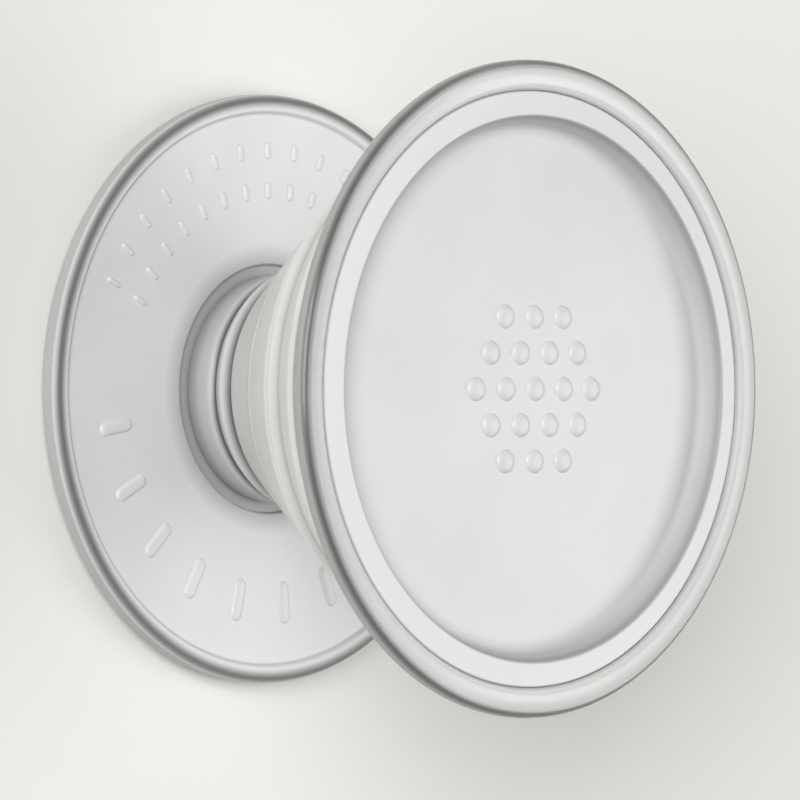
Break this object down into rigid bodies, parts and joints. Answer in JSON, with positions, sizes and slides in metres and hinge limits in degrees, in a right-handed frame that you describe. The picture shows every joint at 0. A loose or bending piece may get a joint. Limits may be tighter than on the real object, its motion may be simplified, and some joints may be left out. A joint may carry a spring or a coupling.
{
  "type": "collapsible phone grip",
  "caption": "Round stick-on phone grip with a folding rubber cone that pops out and collapses, a base it swivels in, and a domed quarter-turn top.",
  "frame": {"origin": "centre of the sticky face, at the bottom of the object", "axes": "+Z along the grip's axis, from the sticky face to the top"},
  "size_m": [0.0398, 0.0398, 0.0249],
  "materials": {
    "pad_gel": "soft sticky gel",
    "base_plastic": "satin, frosted",
    "foot_plastic": "satin",
    "cone_rubber": "milky, semi-gloss",
    "rim_plastic": "polished, clear-tinted",
    "dish_plastic": "polished ledge, satin dome"
  },
  "bodies": {
    "base": {"adhesive_pad": "pad_gel", "base_disc": "base_plastic"},
    "swivel": {"swivel_foot": "foot_plastic", "foot_retainer": "foot_plastic", "accordion": "cone_rubber"},
    "collar": {"mount_plate": "foot_plastic"},
    "top": {"top_shell": "rim_plastic", "top_insert": "dish_plastic"}
  },
  "joints": [
    {"name": "grip_swivel", "type": "hinge", "parent": "base", "child": "swivel", "pos_m": [0, 0, 0.0012], "axis": [0, 0, 1], "continuous": true},
    {"name": "pop_slide", "type": "slide", "parent": "swivel", "child": "collar", "axis": [0, 0, 1], "range_m": [-0.0162, 0], "deforming": ["accordion"]},
    {"name": "top_twist", "type": "hinge", "parent": "collar", "child": "top", "pos_m": [0, 0, 0.0208], "axis": [0, 0, 1], "range_deg": [0, 90]}
  ]
}
